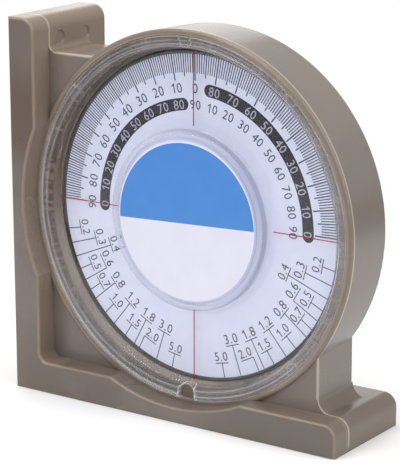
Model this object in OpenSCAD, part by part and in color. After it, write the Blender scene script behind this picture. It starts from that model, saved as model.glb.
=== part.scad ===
// Pendulum inclinometer: an L-shaped magnetic frame moulded in one with a round case.
// A weighted dial hangs on a pin inside the case, behind a snap-in clear lens with cursor lines.
// Sizes are in millimetres. The part stands on its base, Z is up and the dial faces -Y.
// Depths are measured from the front plane of the frame, towards the back.

/* [Frame] */
// Length of the base bar, from the leg's outer face
frame_w = 102; // [98:0.5:112]
// Height of the leg, from the underside
frame_h = 102.4; // [99:0.2:112]
// Depth of both bars, front to back
frame_d = 31.8; // [31:0.2:40]
// Thickness of the vertical leg
leg_t = 8.3; // [7:0.1:9]
// Thickness of the base bar
base_t = 8.6; // [8:0.1:9.4]
// Rounding of each bar's free end, on its inner side
bar_end_r = 3.6; // [1:0.2:5]
// Fillet in the inner corner of the two bars
corner_r = 2.5; // [1:0.25:4]
// Rounding of the long front and back edges
edge_r = 0.8; // [0.4:0.1:1.2]
// Chamfer along the front and back edges of the two working faces, the sole and the leg's outer face
sole_chamfer = 0.4; // [0.2:0.1:0.8]

/* [Case] */
// Thickness left of the leg beside the round cut for the lens
leg_left = 3.9; // [3.5:0.1:5]
// Thickness left of the base below the round cut for the lens
base_left = 4; // [3.6:0.1:5]
// Wall of the case round the lens, at its front rim
case_rim_w = 1.5; // [1.2:0.1:2]
// Amount by which the case tapers in from its front to its back
case_taper = 0.7; // [0:0.1:1]
// Depth of the case's front rim
case_front_y = 5.7; // [5.5:0.1:6]
// Depth of the case's back face
case_back_y = 24.1; // [24:0.1:28]
// Thickness of the case's floor
floor_t = 2.4; // [1.8:0.1:3]
// Gap between the lens and the round cut in the front of the bars
front_cut_gap = 0.7; // [0.5:0.1:1.2]
// Step from the case's rim back to the front of the web
web_step = 1; // [0.5:0.1:2]
// Height of the web's upper edge above the dial's axis, between leg and case
web_rise = 40; // [35:0.5:41.5]
// Distance of the right-hand flank from the dial's axis
flank_reach = 40; // [31:0.5:41]
// Fillet where the flank meets the base
flank_fillet_r = 3.5; // [2:0.25:5]

/* [Lens] */
// Radius of the lens rim
lens_r = 48.3; // [47:0.1:49]
// Width of the ledge that the lens rests on
ledge_w = 3.4; // [3:0.1:3.8]
// Depth of the flat window behind the case's rim
window_drop = 4; // [3.5:0.1:4.5]
// Wall of the lens
lens_t = 1; // [0.8:0.05:1.2]
// Height of the raised centre boss above the window
boss_h = 3.8; // [3:0.1:4.2]
// Width of the boss's rim round the label
boss_ring_w = 2.4; // [1.6:0.1:3]
// Radius of the round centre label
label_r = 21.2; // [16:0.2:23]
// Width of a cursor line
cursor_w = 0.25; // [0.2:0.05:0.6]
// Radius of the finger notch in the lens rim
notch_r = 2.3; // [1.5:0.1:2.8]

/* [Dial] */
// Width of the step in the case's wall, just in front of the dial
dial_step_w = 0.9; // [0.4:0.1:1.5]
// Gap between the dial and the case's wall behind that step
dial_clear = 0.6; // [0.5:0.1:2.5]
// Width of the dial's dark rim
dial_rim_w = 0.5; // [0.4:0.1:2]
// Thickness of the dial's plate
plate_t = 1.2; // [1:0.1:1.6]
// Gap between the lens and the dial
dial_gap = 0.5; // [0.4:0.05:0.6]
// Radius of the pivot pin
pin_r = 1.5; // [1.2:0.1:2]
// Running clearance of the bush on the pin, on the radius
run_clear = 0.05; // [0.02:0.01:0.1]
// Width of the counterweight, on the radius
weight_w = 14; // [8:0.5:18]
// Distance of the counterweight from the dial's edge
weight_inset = 3; // [2:0.25:6]
// Half of the angle that the counterweight covers
weight_half_angle = 48; // [35:1:60]
// Thickness of the counterweight
weight_t = 5; // [3:0.25:5.5]

/* [Magnets] */
// Radius of a disc magnet
magnet_r = 6; // [4:0.25:6.5]
// Thickness of a disc magnet
magnet_t = 3; // [2:0.1:3]
// Thickness of the steel disc behind a magnet
backing_t = 0.9; // [0.5:0.1:1]
// Distance between neighbouring magnets
magnet_pitch = 24; // [16:0.5:26]

/* [Hidden] */
$fn = 96;
// Amount by which a cut passes the face it opens
over = 1;
// Radial clearance of fixed fits, such as a pressed bush
fit = 0.01;
// Play round glued pieces, such as the magnets and the label
play = 0.15;

// Radial clearance of the lens in its seat
lens_fit = 0.1;

// Lens seat in the case, with the ledge and the groove for the snap bead
seat_r = lens_r + lens_fit;
bead_h = 0.3;
groove_r = lens_r + bead_h + lens_fit;
bead_drop = 1.5;
bead_y = case_front_y + bead_drop;
seat_drop = 0.8;
seat_y = bead_y + seat_drop;
bore_r = seat_r - ledge_w;

// Case, and the round cut in front of it that sets the dial's axis
case_front_r = seat_r + case_rim_w;
case_back_r = case_front_r - case_taper;
case_edge_r = 1;
front_cut_r = lens_r + front_cut_gap;
axis_x = leg_left + front_cut_r;
axis_z = base_left + front_cut_r;
floor_y = case_back_y - floor_t;
post_r = 5;

// Web and flank
web_front_y = case_front_y + web_step;
web_top_z = axis_z + web_rise;
web_fillet_r = 1.5;
flank_x = axis_x + flank_reach;

// Lens rim: two ridges, a groove between them and a slope down to the window
rim_proud = 0.1;
rim_y = case_front_y - rim_proud;
ridge_h = 0.5;
ridge_chamfer = 0.3;
ridge_gap = 0.4;
inner_ridge_w = 1.2;
rim_groove_y = rim_y + ridge_h;
rim_slope_w = 1.3;
rim_slope_r = bore_r + 0.2;
outer_ridge_r = rim_slope_r + inner_ridge_w + ridge_gap;
window_y = case_front_y + window_drop;
window_r = rim_slope_r - rim_slope_w;
lens_back_y = window_y + lens_t;
skirt_gap = 0.1;
skirt_draft = 0.5;
label_t = 0.2;
label_gap = 0.6;
label_recess_r = label_r + label_gap;
label_drop = 0.15;
boss_y = window_y - boss_h;
boss_top_r = label_recess_r + boss_ring_w;
boss_draft = 0.8;
boss_r = boss_top_r + boss_draft;
label_y = boss_y + label_drop;
cursor_depth = 0.15;
cursor_in_gap = 0.3;
cursor_in_r = boss_r + cursor_in_gap;
cursor_out_gap = 0.5;
cursor_out_r = window_r - cursor_out_gap;

// Step in the case's wall, and the stack of the dial behind it, from its front to its back
step_gap = 0.2;
step_y = lens_back_y + step_gap;
dial_bore_r = bore_r - dial_step_w;
dial_r = dial_bore_r - dial_clear;
card_t = 0.3;
card_drop = 0.2;
rim_front_y = lens_back_y + dial_gap;
card_y = rim_front_y + card_drop;
plate_y = card_y + card_t;
plate_back_y = plate_y + plate_t;
rim_in_r = dial_r - dial_rim_w;
card_r = rim_in_r - 0.05;
weight_out_r = dial_r - weight_inset;
weight_in_r = weight_out_r - weight_w;
weight_y = plate_back_y + fit;
weight_back_y = weight_y + weight_t;

// Hub, bush, pin and what holds the dial on it
hub_r = 5.5;
hub_h = 3.8;
hub_back_y = plate_back_y + hub_h;
bush_r = 3;
bush_lip = 0.5;
bush_front_y = plate_y - bush_lip;
bush_flange_r = 4.4;
bush_flange_t = 0.7;
bush_back_y = hub_back_y + bush_flange_t;
washer_r = 3.6;
washer_t = 0.4;
end_play = 0.1;
rear_washer_y = bush_back_y + end_play;
post_y = rear_washer_y + washer_t;
front_washer_y = bush_front_y - end_play - washer_t;
clip_t = 0.6;
clip_gap = 0.05;
clip_y = front_washer_y - clip_gap - clip_t;
clip_r = 3.4;
clip_groove_depth = 0.35;
clip_groove_r = pin_r - clip_groove_depth;
pin_nose = 0.7;
pin_front_y = clip_y - pin_nose;
pin_skin = 1;
pin_back_y = case_back_y - pin_skin;
pin_tip = 0.4;

// Stiffening ribs on the back of the dial
rib_t = 1;
rib_h = 1.8;
rib_inset = 2;
rib_out_r = dial_r - rib_inset;
rib_angles = [0, 45, 90, 135, 180];

// Rivets of the counterweight
rivet_r = 1.4;
rivet_head_r = 2.6;
rivet_head_t = 0.8;
rivet_pitch_r = (weight_in_r + weight_out_r) / 2;
rivet_angles = [-90 - weight_half_angle * 0.6, -90 + weight_half_angle * 0.6];

// Magnet pockets, from the underside
magnets = 4;
magnet_lift = 0.15;
glue_t = 0.05;
pocket_h = magnet_lift + magnet_t + backing_t + glue_t;
magnet_mid_x = frame_w / 2;
magnet_y = frame_d / 2;

// Two shallow round dimples on the leg, above the web
mark_r = 2;
mark_flare = 0.5;
mark_depth = 0.5;
mark_shift = 1.4;
mark_mid_y = frame_d / 2 + mark_shift;
mark_pitch = 10.8;
mark_rise = 3.1;
mark_z = web_top_z + mark_rise;

// Overall width, and the colours
overall_w = max(frame_w, axis_x + case_front_r);
taupe = [0.46, 0.41, 0.37];
clear = [0.85, 0.88, 0.9, 0.35];
steel = [0.62, 0.63, 0.65];

// ---- Helpers ----

// Puts a piece drawn from the frame's front left bottom corner into the part's own frame
module placed() {
    translate([-overall_w / 2, -frame_d / 2, 0]) children();
}

// Extrudes an outline drawn in X and Z from depth y0 to depth y1
module deep(y0, y1) {
    translate([0, y1, 0]) rotate([90, 0, 0]) linear_extrude(y1 - y0) children();
}

// Turns an outline drawn as radius and depth about the dial's axis
module turned() {
    translate([axis_x, 0, axis_z]) rotate([-90, 0, 0]) rotate_extrude($fn = 180) children();
}

// A disc or ring about the dial's axis
module ring(r_out, r_in, y0, y1) {
    turned() translate([r_in, y0]) square([r_out - r_in, y1 - y0]);
}

// Places what is drawn along +X from the dial's axis at an angle above the horizontal
module at_angle(a) {
    translate([axis_x, 0, axis_z]) rotate([0, -a, 0]) children();
}

// What a quarter round of radius r takes off a corner at the origin that fills +X and +Y
module corner_waste(r) {
    difference() {
        translate([-over, -over]) square(r + over);
        translate([r, r]) circle(r, $fn = 64);
    }
}

// What a plain chamfer of width w takes off the same corner
module chamfer_waste(w) {
    polygon([[-over, -over], [w + over, -over], [-over, w + over]]);
}

// Carries a corner's waste along a straight edge from a to b, whose solid lies on its left
module along_edge(a, b, y, back) {
    run = b - a;
    translate([a[0], y, a[1]])
        rotate([0, -atan2(run[1], run[0]), 0])
            rotate([90, 0, 90])
                linear_extrude(norm(run))
                    mirror([back ? 1 : 0, 0]) children();
}

// Cutter that rounds a straight edge
module edge_waste(a, b, y, back) {
    along_edge(a, b, y, back) corner_waste(edge_r);
}

// Cutter that chamfers the edge of a working face
module sole_waste(a, b, y, back) {
    along_edge(a, b, y, back) chamfer_waste(sole_chamfer);
}

// Cutter for the edge of a bar end's rounding, a quarter turn about the centre c
module round_waste(c, y, back) {
    translate([c[0], y, c[1]]) rotate([-90, 0, 0]) rotate([0, 0, -90])
        rotate_extrude(angle = 90)
            translate([bar_end_r, 0]) mirror([1, 0]) mirror([0, back ? 1 : 0]) corner_waste(edge_r);
}

// Cutter for the edge of the inner fillet, a quarter turn about the centre c
module fillet_waste(c, y, back) {
    translate([c[0], y, c[1]]) rotate([-90, 0, 0]) rotate([0, 0, 90])
        rotate_extrude(angle = 90)
            translate([corner_r, 0]) mirror([0, back ? 1 : 0]) corner_waste(edge_r);
}

// ---- Frame and case ----

// Outline of the two bars, with their rounded ends and the inner fillet
module frame_outline() {
    difference() {
        union() {
            square([leg_t, frame_h - bar_end_r]);
            square([leg_t - bar_end_r, frame_h]);
            translate([leg_t - bar_end_r, frame_h - bar_end_r]) circle(bar_end_r);
            square([frame_w - bar_end_r, base_t]);
            square([frame_w, base_t - bar_end_r]);
            translate([frame_w - bar_end_r, base_t - bar_end_r]) circle(bar_end_r);
            square([leg_t + corner_r, base_t + corner_r]);
        }
        translate([leg_t + corner_r, base_t + corner_r]) circle(corner_r);
    }
}

// Fills the corner between a wall at x and a floor at z with a fillet of radius r, on +X and +Z
module fillet(x, z, r) {
    translate([x, z]) difference() {
        translate([-r, -r]) square(2 * r);
        translate([r, r]) circle(r);
    }
}

// Outline of the web: a corner panel on the left, a pedestal with a straight flank on the right
module web_outline() {
    square([axis_x, web_top_z]);
    square([flank_x, axis_z]);
    fillet(leg_t, web_top_z, web_fillet_r);
    fillet(flank_x, base_t, flank_fillet_r);
}

// The web, with its upper edge and the flank's edges rounded at the front and the back
module web() {
    difference() {
        deep(web_front_y, case_back_y) web_outline();
        for (side = [[web_front_y, false], [case_back_y, true]]) {
            edge_waste([axis_x, web_top_z], [leg_t + web_fillet_r, web_top_z], side[0], side[1]);
            edge_waste([flank_x, base_t + flank_fillet_r], [flank_x, axis_z], side[0], side[1]);
        }
    }
}

// The case with its rounded rim and back edge, drawn as radius and depth
module case_outline() {
    difference() {
        polygon([
            [0, case_front_y], [case_front_r, case_front_y], [case_front_r, case_front_y + edge_r],
            [case_back_r, case_back_y], [0, case_back_y]
        ]);
        translate([case_front_r, case_front_y]) mirror([1, 0]) corner_waste(edge_r);
        translate([case_back_r, case_back_y]) rotate(180) corner_waste(case_edge_r);
    }
}

// The room inside the case: the lens seat, its snap groove, the dial's bore and the post for the pin
module chamber_outline() {
    polygon([
        [0, 0], [seat_r, 0],
        [seat_r, bead_y - 0.5], [groove_r, bead_y - 0.1], [groove_r, bead_y + 0.1], [seat_r, bead_y + 0.5],
        [seat_r, seat_y], [bore_r, seat_y], [bore_r, step_y], [dial_bore_r, step_y],
        [dial_bore_r, floor_y],
        [post_r, floor_y], [post_r, post_y], [0, post_y]
    ]);
}

// Finish of every long edge of the bars, front or back: working faces chamfered, the rest rounded
module frame_edge_waste(y, back) {
    r = bar_end_r;
    ends_z = [base_t + corner_r, frame_h - r];
    sole_waste([0, 0], [frame_w, 0], y, back);
    sole_waste([0, frame_h + over], [0, -over], y, back);
    edge_waste([frame_w, -over], [frame_w, base_t - r], y, back);
    edge_waste([leg_t - r, frame_h], [-over, frame_h], y, back);
    edge_waste([frame_w - r, base_t], [leg_t + corner_r, base_t], y, back);
    edge_waste([leg_t, ends_z[0]], [leg_t, ends_z[1]], y, back);
    round_waste([leg_t - r, frame_h - r], y, back);
    round_waste([frame_w - r, base_t - r], y, back);
    fillet_waste([leg_t + corner_r, base_t + corner_r], y, back);
}

module housing_body() {
    color(taupe) placed() difference() {
        union() {
            difference() {
                deep(0, frame_d) frame_outline();
                ring(front_cut_r, 0, -over, case_front_y);
                turned() translate([front_cut_r, 0]) corner_waste(edge_r);
                frame_edge_waste(0, false);
                frame_edge_waste(frame_d, true);
            }
            web();
            turned() case_outline();
        }
        turned() chamber_outline();
        ring(pin_r + fit, 0, post_y - over, pin_back_y);
        for (i = [1:magnets])
            magnet_spot(i, magnet_r + play, pocket_h + over, -over);
        for (side = [-1, 1])
            translate([leg_t, mark_mid_y + side * mark_pitch / 2, mark_z]) rotate([0, 90, 0])
                cylinder(h = 2 * mark_depth, r1 = mark_r - mark_flare, r2 = mark_r + mark_flare, center = true);
    }
}

// ---- Lens and what it carries ----

// The snap-in lens, drawn as radius and depth: rim, window and raised centre
module lens_outline() {
    bead_r = lens_r + bead_h;
    inner_ridge_r = rim_slope_r + inner_ridge_w;
    inner_ridge_y = rim_y + 0.1;
    boss_in_r = boss_top_r - lens_t;
    polygon([
        [0, label_y + label_t], [label_recess_r, label_y + label_t],
        [label_recess_r, boss_y], [boss_top_r, boss_y], [boss_r, window_y],
        [window_r, window_y], [rim_slope_r, rim_groove_y],
        [rim_slope_r + ridge_chamfer, inner_ridge_y], [inner_ridge_r - ridge_chamfer, inner_ridge_y],
        [inner_ridge_r, rim_groove_y], [outer_ridge_r, rim_groove_y],
        [outer_ridge_r + ridge_chamfer, rim_y], [lens_r - 0.4, rim_y], [lens_r, rim_y + 0.4],
        [lens_r, bead_y - 0.4], [bead_r, bead_y], [lens_r, bead_y + 0.4],
        [lens_r, seat_y], [bore_r - skirt_gap, seat_y],
        [bore_r - skirt_gap - skirt_draft, lens_back_y],
        [boss_r - lens_t, lens_back_y], [boss_in_r, label_y + label_t + lens_t],
        [0, label_y + label_t + lens_t]
    ]);
}

// The four cursor strips, each in its groove on the front of the window
module cursor_strips(extra) {
    for (a = [0, 90, 180, 270])
        at_angle(a)
            translate([cursor_in_r, window_y - extra, -cursor_w / 2])
                cube([cursor_out_r - cursor_in_r, cursor_depth + extra, cursor_w]);
}

module lens_cover() {
    color(clear) placed() difference() {
        turned() lens_outline();
        cursor_strips(over);
        translate([axis_x, 0, axis_z - lens_r + notch_r - 0.4]) rotate([-90, 0, 0])
            cylinder(h = seat_y + over, r = notch_r);
        translate([axis_x - notch_r, 0, axis_z - lens_r - over])
            cube([2 * notch_r, seat_y + over, notch_r + over - 0.4]);
    }
}

module centre_label() {
    color([0.3, 0.55, 0.84]) placed() ring(label_r, 0, label_y, label_y + label_t);
}

module cursor_lines() {
    color([0.8, 0.2, 0.28]) placed() cursor_strips(0);
}

// ---- Dial ----

module dial_card() {
    color([0.9, 0.91, 0.95]) placed() ring(card_r, bush_r + 0.5, card_y, plate_y);
}

// The moulded plate behind the card, with its rim, hub and ribs
module dial_carrier() {
    color([0.12, 0.12, 0.13]) placed() difference() {
        union() {
            turned() polygon([
                [0, plate_y], [rim_in_r, plate_y], [rim_in_r, rim_front_y],
                [dial_r, rim_front_y], [dial_r, plate_back_y + 1],
                [dial_r - 1.2, plate_back_y + 1], [dial_r - 1.2, plate_back_y],
                [hub_r, plate_back_y], [hub_r, hub_back_y], [0, hub_back_y]
            ]);
            for (a = rib_angles)
                at_angle(a)
                    translate([0, plate_back_y - 0.2, -rib_t / 2])
                        cube([rib_out_r, rib_h + 0.2, rib_t]);
        }
        ring(bush_r + fit, 0, card_y - over, hub_back_y + over);
        for (a = rivet_angles)
            at_angle(a) translate([rivet_pitch_r, 0, 0]) rotate([-90, 0, 0])
                cylinder(h = weight_back_y, r = rivet_r + fit);
    }
}

module pivot_bush() {
    color([0.78, 0.62, 0.3]) placed() turned() polygon([
        [pin_r + run_clear, bush_front_y], [bush_r, bush_front_y], [bush_r, hub_back_y],
        [bush_flange_r, hub_back_y], [bush_flange_r, bush_back_y], [pin_r + run_clear, bush_back_y]
    ]);
}

// The steel segment that keeps the dial upright
module counterweight() {
    reach = 2 * weight_out_r;
    side = reach * [sin(weight_half_angle), cos(weight_half_angle)];
    color(steel) placed() difference() {
        intersection() {
            ring(weight_out_r, weight_in_r, weight_y, weight_back_y);
            translate([axis_x, 0, axis_z]) deep(weight_y - over, weight_back_y + over)
                polygon([[0, 0], [-side[0], -side[1]], [0, -reach], [side[0], -side[1]]]);
        }
        for (a = rivet_angles)
            at_angle(a) translate([rivet_pitch_r, 0, 0]) rotate([-90, 0, 0])
                cylinder(h = weight_back_y + over, r = rivet_r + fit);
    }
}

module counterweight_rivets() {
    color(steel) placed() for (a = rivet_angles)
        at_angle(a) translate([rivet_pitch_r, 0, 0]) rotate([-90, 0, 0]) rotate_extrude()
            polygon([
                [0, plate_y], [rivet_r, plate_y], [rivet_r, weight_back_y],
                [rivet_head_r, weight_back_y], [rivet_head_r, weight_back_y + rivet_head_t / 2],
                [rivet_head_r * 0.7, weight_back_y + rivet_head_t],
                [0, weight_back_y + rivet_head_t]
            ]);
}

// ---- Pivot ----

module pivot_pin() {
    color(steel) placed() turned() polygon([
        [0, pin_front_y], [pin_r - pin_tip, pin_front_y], [pin_r, pin_front_y + pin_tip],
        [pin_r, clip_y - 0.02], [clip_groove_r, clip_y - 0.02],
        [clip_groove_r, clip_y + clip_t + 0.02], [pin_r, clip_y + clip_t + 0.02],
        [pin_r, pin_back_y], [0, pin_back_y]
    ]);
}

// An open clip that sits in the pin's groove
module retaining_clip() {
    color(steel) placed() difference() {
        ring(clip_r, clip_groove_r + fit, clip_y, clip_y + clip_t);
        translate([axis_x - 0.9, clip_y - over, axis_z - clip_r - over])
            cube([1.8, clip_t + 2 * over, clip_r + over]);
        for (s = [-1, 1])
            translate([axis_x + s * 1.9, 0, axis_z + 0.9]) rotate([-90, 0, 0])
                cylinder(h = clip_y + clip_t + over, r = 0.45, $fn = 32);
    }
}

module front_washer() {
    color([0.85, 0.85, 0.8]) placed()
        ring(washer_r, pin_r + run_clear, front_washer_y, front_washer_y + washer_t);
}

module rear_washer() {
    color([0.85, 0.85, 0.8]) placed()
        ring(washer_r, pin_r + run_clear, rear_washer_y, rear_washer_y + washer_t);
}

// ---- Magnets ----

// A disc of radius r and height h in magnet pocket i, from height z
module magnet_spot(i, r, h, z) {
    x = magnet_mid_x + (i - (magnets + 1) / 2) * magnet_pitch;
    translate([x, magnet_y, z]) cylinder(h = h, r = r);
}

module base_magnet(i) {
    color([0.25, 0.25, 0.27]) placed() magnet_spot(i, magnet_r, magnet_t, magnet_lift);
}

module backing_disc(i) {
    color(steel) placed() magnet_spot(i, magnet_r, backing_t, magnet_lift + magnet_t);
}

// ---- Parts ----
housing_body();
lens_cover();
centre_label();
cursor_lines();
dial_card();
dial_carrier();
pivot_bush();
counterweight();
counterweight_rivets();
pivot_pin();
retaining_clip();
front_washer();
rear_washer();
base_magnet(1);  // base_magnet_1
base_magnet(2);  // base_magnet_2
base_magnet(3);  // base_magnet_3
base_magnet(4);  // base_magnet_4
backing_disc(1);  // backing_disc_1
backing_disc(2);  // backing_disc_2
backing_disc(3);  // backing_disc_3
backing_disc(4);  // backing_disc_4
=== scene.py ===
# %% [markdown]
# # A pendulum inclinometer, dressed for its photograph
#
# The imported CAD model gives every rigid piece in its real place, in metres, standing on Z = 0 with
# the dial facing -Y. This lesson adds what CAD leaves plain: a lens with softly rounded rings,
# the printed scales of the dial, the paint of the cursor lines, and a finish for each piece.
# The new surfaces are worked out with numpy as functions of two parameters.

# %% Load the frame
import math

import bpy
import numpy as np
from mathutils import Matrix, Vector


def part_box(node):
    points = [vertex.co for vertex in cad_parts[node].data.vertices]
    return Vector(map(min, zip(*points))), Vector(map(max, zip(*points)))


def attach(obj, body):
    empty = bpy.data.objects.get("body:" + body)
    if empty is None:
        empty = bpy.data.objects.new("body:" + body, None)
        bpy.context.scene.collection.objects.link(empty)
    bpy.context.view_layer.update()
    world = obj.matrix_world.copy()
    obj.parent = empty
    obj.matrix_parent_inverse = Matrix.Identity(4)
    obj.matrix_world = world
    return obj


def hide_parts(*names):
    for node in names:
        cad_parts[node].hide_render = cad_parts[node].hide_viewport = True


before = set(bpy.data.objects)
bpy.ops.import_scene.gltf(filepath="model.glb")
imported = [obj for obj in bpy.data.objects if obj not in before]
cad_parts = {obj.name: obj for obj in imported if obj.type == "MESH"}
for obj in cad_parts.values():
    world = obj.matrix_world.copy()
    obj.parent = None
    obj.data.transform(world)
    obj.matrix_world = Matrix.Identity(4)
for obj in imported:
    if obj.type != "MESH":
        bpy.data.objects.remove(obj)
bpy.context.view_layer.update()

# %% [markdown]
# The dial turns about one axis, and nearly everything new is round about it. Its place isn't
# typed in: the middle of the dial carrier's box gives it, and other boxes give the depths of
# the lens, the card and the label. When the model changes, the dressing follows.

# %% Measure the pieces that the dressing is fitted to
MM = 0.001
SNAP_BEAD = 0.3


def span(node):
    """Lowest and highest corner of a CAD node as two arrays, in millimetres."""
    low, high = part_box(node)
    return np.array(low) / MM, np.array(high) / MM


def front_and_radius(node):
    """Depth of the front and radius of a CAD node that is round about the dial's axis, in millimetres."""
    low, high = span(node)
    return low[1], (high[0] - low[0]) / 2


AXIS_X, _, AXIS_Z = sum(span("dial_carrier")) / 2
CARD_Y, CARD_R = front_and_radius("dial_card")
LABEL_Y, LABEL_R = front_and_radius("centre_label")
WINDOW_Y, CURSOR_OUT_R = front_and_radius("cursor_lines")
RIM_Y, bead_r = front_and_radius("lens_cover")
LENS_R = bead_r - SNAP_BEAD
LENS_BACK_Y = span("lens_cover")[1][1]
(LEG_X, FRONT_Y, _), (_, BACK_Y, _) = span("housing_body")
print("axis", round(AXIS_X, 2), round(AXIS_Z, 2), "lens r", round(LENS_R, 2), "depths: front",
      round(FRONT_Y, 2), "rim", round(RIM_Y, 2), "window", round(WINDOW_Y, 2), "card", round(CARD_Y, 2))

# %% [markdown]
# Every new surface ends as a mesh made in one go from arrays. The helpers below turn points and
# faces into a piece, polar places (radius, angle, depth) into points, and the rows and columns of
# a grid into faces. Angles count from +X, anticlockwise for someone who looks at the dial.

# %% From arrays to meshes
def linked(name, data):
    """Object in the scene for a mesh, a text, a lamp or a camera."""
    thing = bpy.data.objects.new(name, data)
    bpy.context.scene.collection.objects.link(thing)
    return thing


def new_piece(name, points_mm, faces, body, slot, material):
    """Object at the origin from an (n, 3) array in millimetres and a list of faces."""
    mesh = bpy.data.meshes.new(name)
    mesh.from_pydata((points_mm * MM).tolist(), [], faces)
    mesh.validate()
    mesh.update()
    piece = linked(name, mesh)
    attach(piece, body)
    mesh.materials.append(material)
    return piece


def polar(radius, angle, depth):
    """Points at a radius and an angle (radians) about the dial's axis: x = X + r cos a, z = Z + r sin a."""
    radius, angle, depth = np.broadcast_arrays(radius, angle, depth)
    return np.stack([AXIS_X + radius * np.cos(angle), depth, AXIS_Z + radius * np.sin(angle)], -1)


def directions(angle_deg):
    """Unit vectors outwards, (cos a, 0, sin a), and sideways, (-sin a, 0, cos a), at angles in degrees."""
    turn = np.radians(angle_deg)
    cos, sin, none = np.cos(turn), np.sin(turn), np.zeros_like(turn)
    return np.stack([cos, none, sin], -1), np.stack([-sin, none, cos], -1)


def grid_quads(rows, columns, closed=False):
    """Faces of a grid numbered row by row. A closed grid joins its last column to its first."""
    i, j = np.meshgrid(np.arange(rows - 1), np.arange(columns - (not closed)), indexing="ij")
    after = (j + 1) % columns
    quads = [i * columns + after, (i + 1) * columns + after, (i + 1) * columns + j, i * columns + j]
    return np.stack(quads, -1).reshape(-1, 4)


def fan(ring, pole):
    """Triangles from a closed ring of point numbers to a pole."""
    return np.stack([np.roll(ring, -1), ring, np.full(len(ring), pole)], -1)


def joined(parts):
    """Joins (points, faces) pairs into one pair."""
    offsets = np.cumsum([0] + [len(points) for points, _ in parts[:-1]]).tolist()
    points = np.vstack([points for points, _ in parts])
    faces = [[int(i) + offset for i in face] for (_, part), offset in zip(parts, offsets) for face in part]
    return points, faces


# %% [markdown]
# A finish is a set of shader nodes. The small writer below keeps each material readable: it adds
# a node, sets its sockets by name and links what is passed as a socket.

# %% A short way to write shader nodes
class Finish:
    """Writes nodes into the tree of a material, a group or the world."""

    def __init__(self, tree):
        self.tree = tree

    def add(self, kind, settings=None, **sockets):
        """Adds a node, sets its properties from settings and its inputs from the keywords."""
        node = self.tree.nodes.new(kind)
        for key, value in (settings or {}).items():
            setattr(node, key, value)
        self.fill(node, **sockets)
        return node

    def fill(self, node, **sockets):
        """Sets or links inputs, found by name with _ for a space, or by number as in n0."""
        for key, value in sockets.items():
            numbered = key[0] == "n" and key[1:].isdigit()
            target = node.inputs[int(key[1:]) if numbered else key.replace("_", " ")]
            if isinstance(value, bpy.types.NodeSocket):
                self.tree.links.new(value, target)
            else:
                target.default_value = value

    def look(self, **sockets):
        """Sets or links inputs of the material's Principled BSDF."""
        self.fill(self.shader, **sockets)

    def surface(self, shader):
        """Takes a shader to the material's output, in place of the Principled BSDF."""
        self.fill(self.output, Surface=shader)

    def math(self, operation, value, *others):
        """A sum on values. Several others are taken in one after the other."""
        for other in others or (0.0,):
            value = self.add("ShaderNodeMath", {"operation": operation}, n0=value, n1=other).outputs[0]
        return value

    def times(self, *values):
        """Product of values."""
        return self.math("MULTIPLY", *values)

    def most(self, *values):
        """Greatest of some values."""
        return self.math("MAXIMUM", *values)

    def vector(self, operation, a, b=(0, 0, 0)):
        """A sum on vectors, which gives a vector, or a value for a length or a dot product."""
        node = self.add("ShaderNodeVectorMath", {"operation": operation}, n0=a, n1=b)
        return node.outputs["Value" if operation in ("LENGTH", "DOT_PRODUCT") else "Vector"]

    def mix(self, factor, a, b):
        """Mixes two colours."""
        return self.add("ShaderNodeMix", {"data_type": "RGBA"}, n0=factor, n6=a, n7=b).outputs[2]

    def smooth(self, value, low, high, out_low=0.0, out_high=1.0):
        """Maps a value from low..high to out_low..out_high with soft ends."""
        node = self.add("ShaderNodeMapRange", {"interpolation_type": "SMOOTHSTEP"},
                        n0=value, n1=low, n2=high, n3=out_low, n4=out_high)
        return node.outputs[0]

    def smooth_mm(self, value, low, high, out_low=0.0, out_high=1.0):
        """The same for a length in metres, with low and high in millimetres."""
        return self.smooth(value, low * MM, high * MM, out_low, out_high)

    def noise(self, vector, scale, detail):
        """Fractal noise, as a value."""
        return self.add("ShaderNodeTexNoise", Vector=vector, Scale=scale, Detail=detail).outputs[0]

    def relief(self, height, strength, depth_mm):
        """Bump from a height, on the material's normal."""
        bump = self.add("ShaderNodeBump", n0=strength, n1=depth_mm * MM, Height=height)
        self.look(Normal=bump.outputs[0])

    def blend(self, share, first, second):
        """Mixes two shaders."""
        return self.add("ShaderNodeMixShader", n0=share, n1=first, n2=second).outputs[0]

    def either_ray(self, first, second):
        """1 for either of two kinds of ray, such as Shadow and Diffuse."""
        path = self.add("ShaderNodeLightPath").outputs
        return self.most(path[f"Is {first} Ray"], path[f"Is {second} Ray"])


def srgb(red, green, blue):
    """Colour written as it looks on a screen (0 to 255), given back as linear light."""
    value = np.array([red, green, blue]) / 255
    linear = np.where(value <= 0.04045, value / 12.92, ((value + 0.055) / 1.055) ** 2.4)
    return (*linear.tolist(), 1.0)


def new_material(name):
    """Material with a Principled BSDF, and a writer that knows its shader, output and Object coordinates."""
    material = bpy.data.materials.new(name)
    material.use_nodes = True
    material.node_tree.nodes.clear()
    pen = Finish(material.node_tree)
    pen.shader = pen.add("ShaderNodeBsdfPrincipled")
    pen.output = pen.add("ShaderNodeOutputMaterial", Surface=pen.shader.outputs[0])
    pen.place = pen.add("ShaderNodeTexCoord").outputs["Object"]
    return material, pen


# %% [markdown]
# Three effects come back on several pieces, so each is a node group, built once. "Cloudy tone"
# drifts between two colours as moulded plastic and print do. "Fine skin" is the height of a
# moulded or rolled surface. "Rubbed scratches" gives a mask of thin random scuffs.

# %% Shared node groups
SOCKET_OF_SIZE = {4: "NodeSocketColor", 3: "NodeSocketVector", 1: "NodeSocketFloat"}


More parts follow.
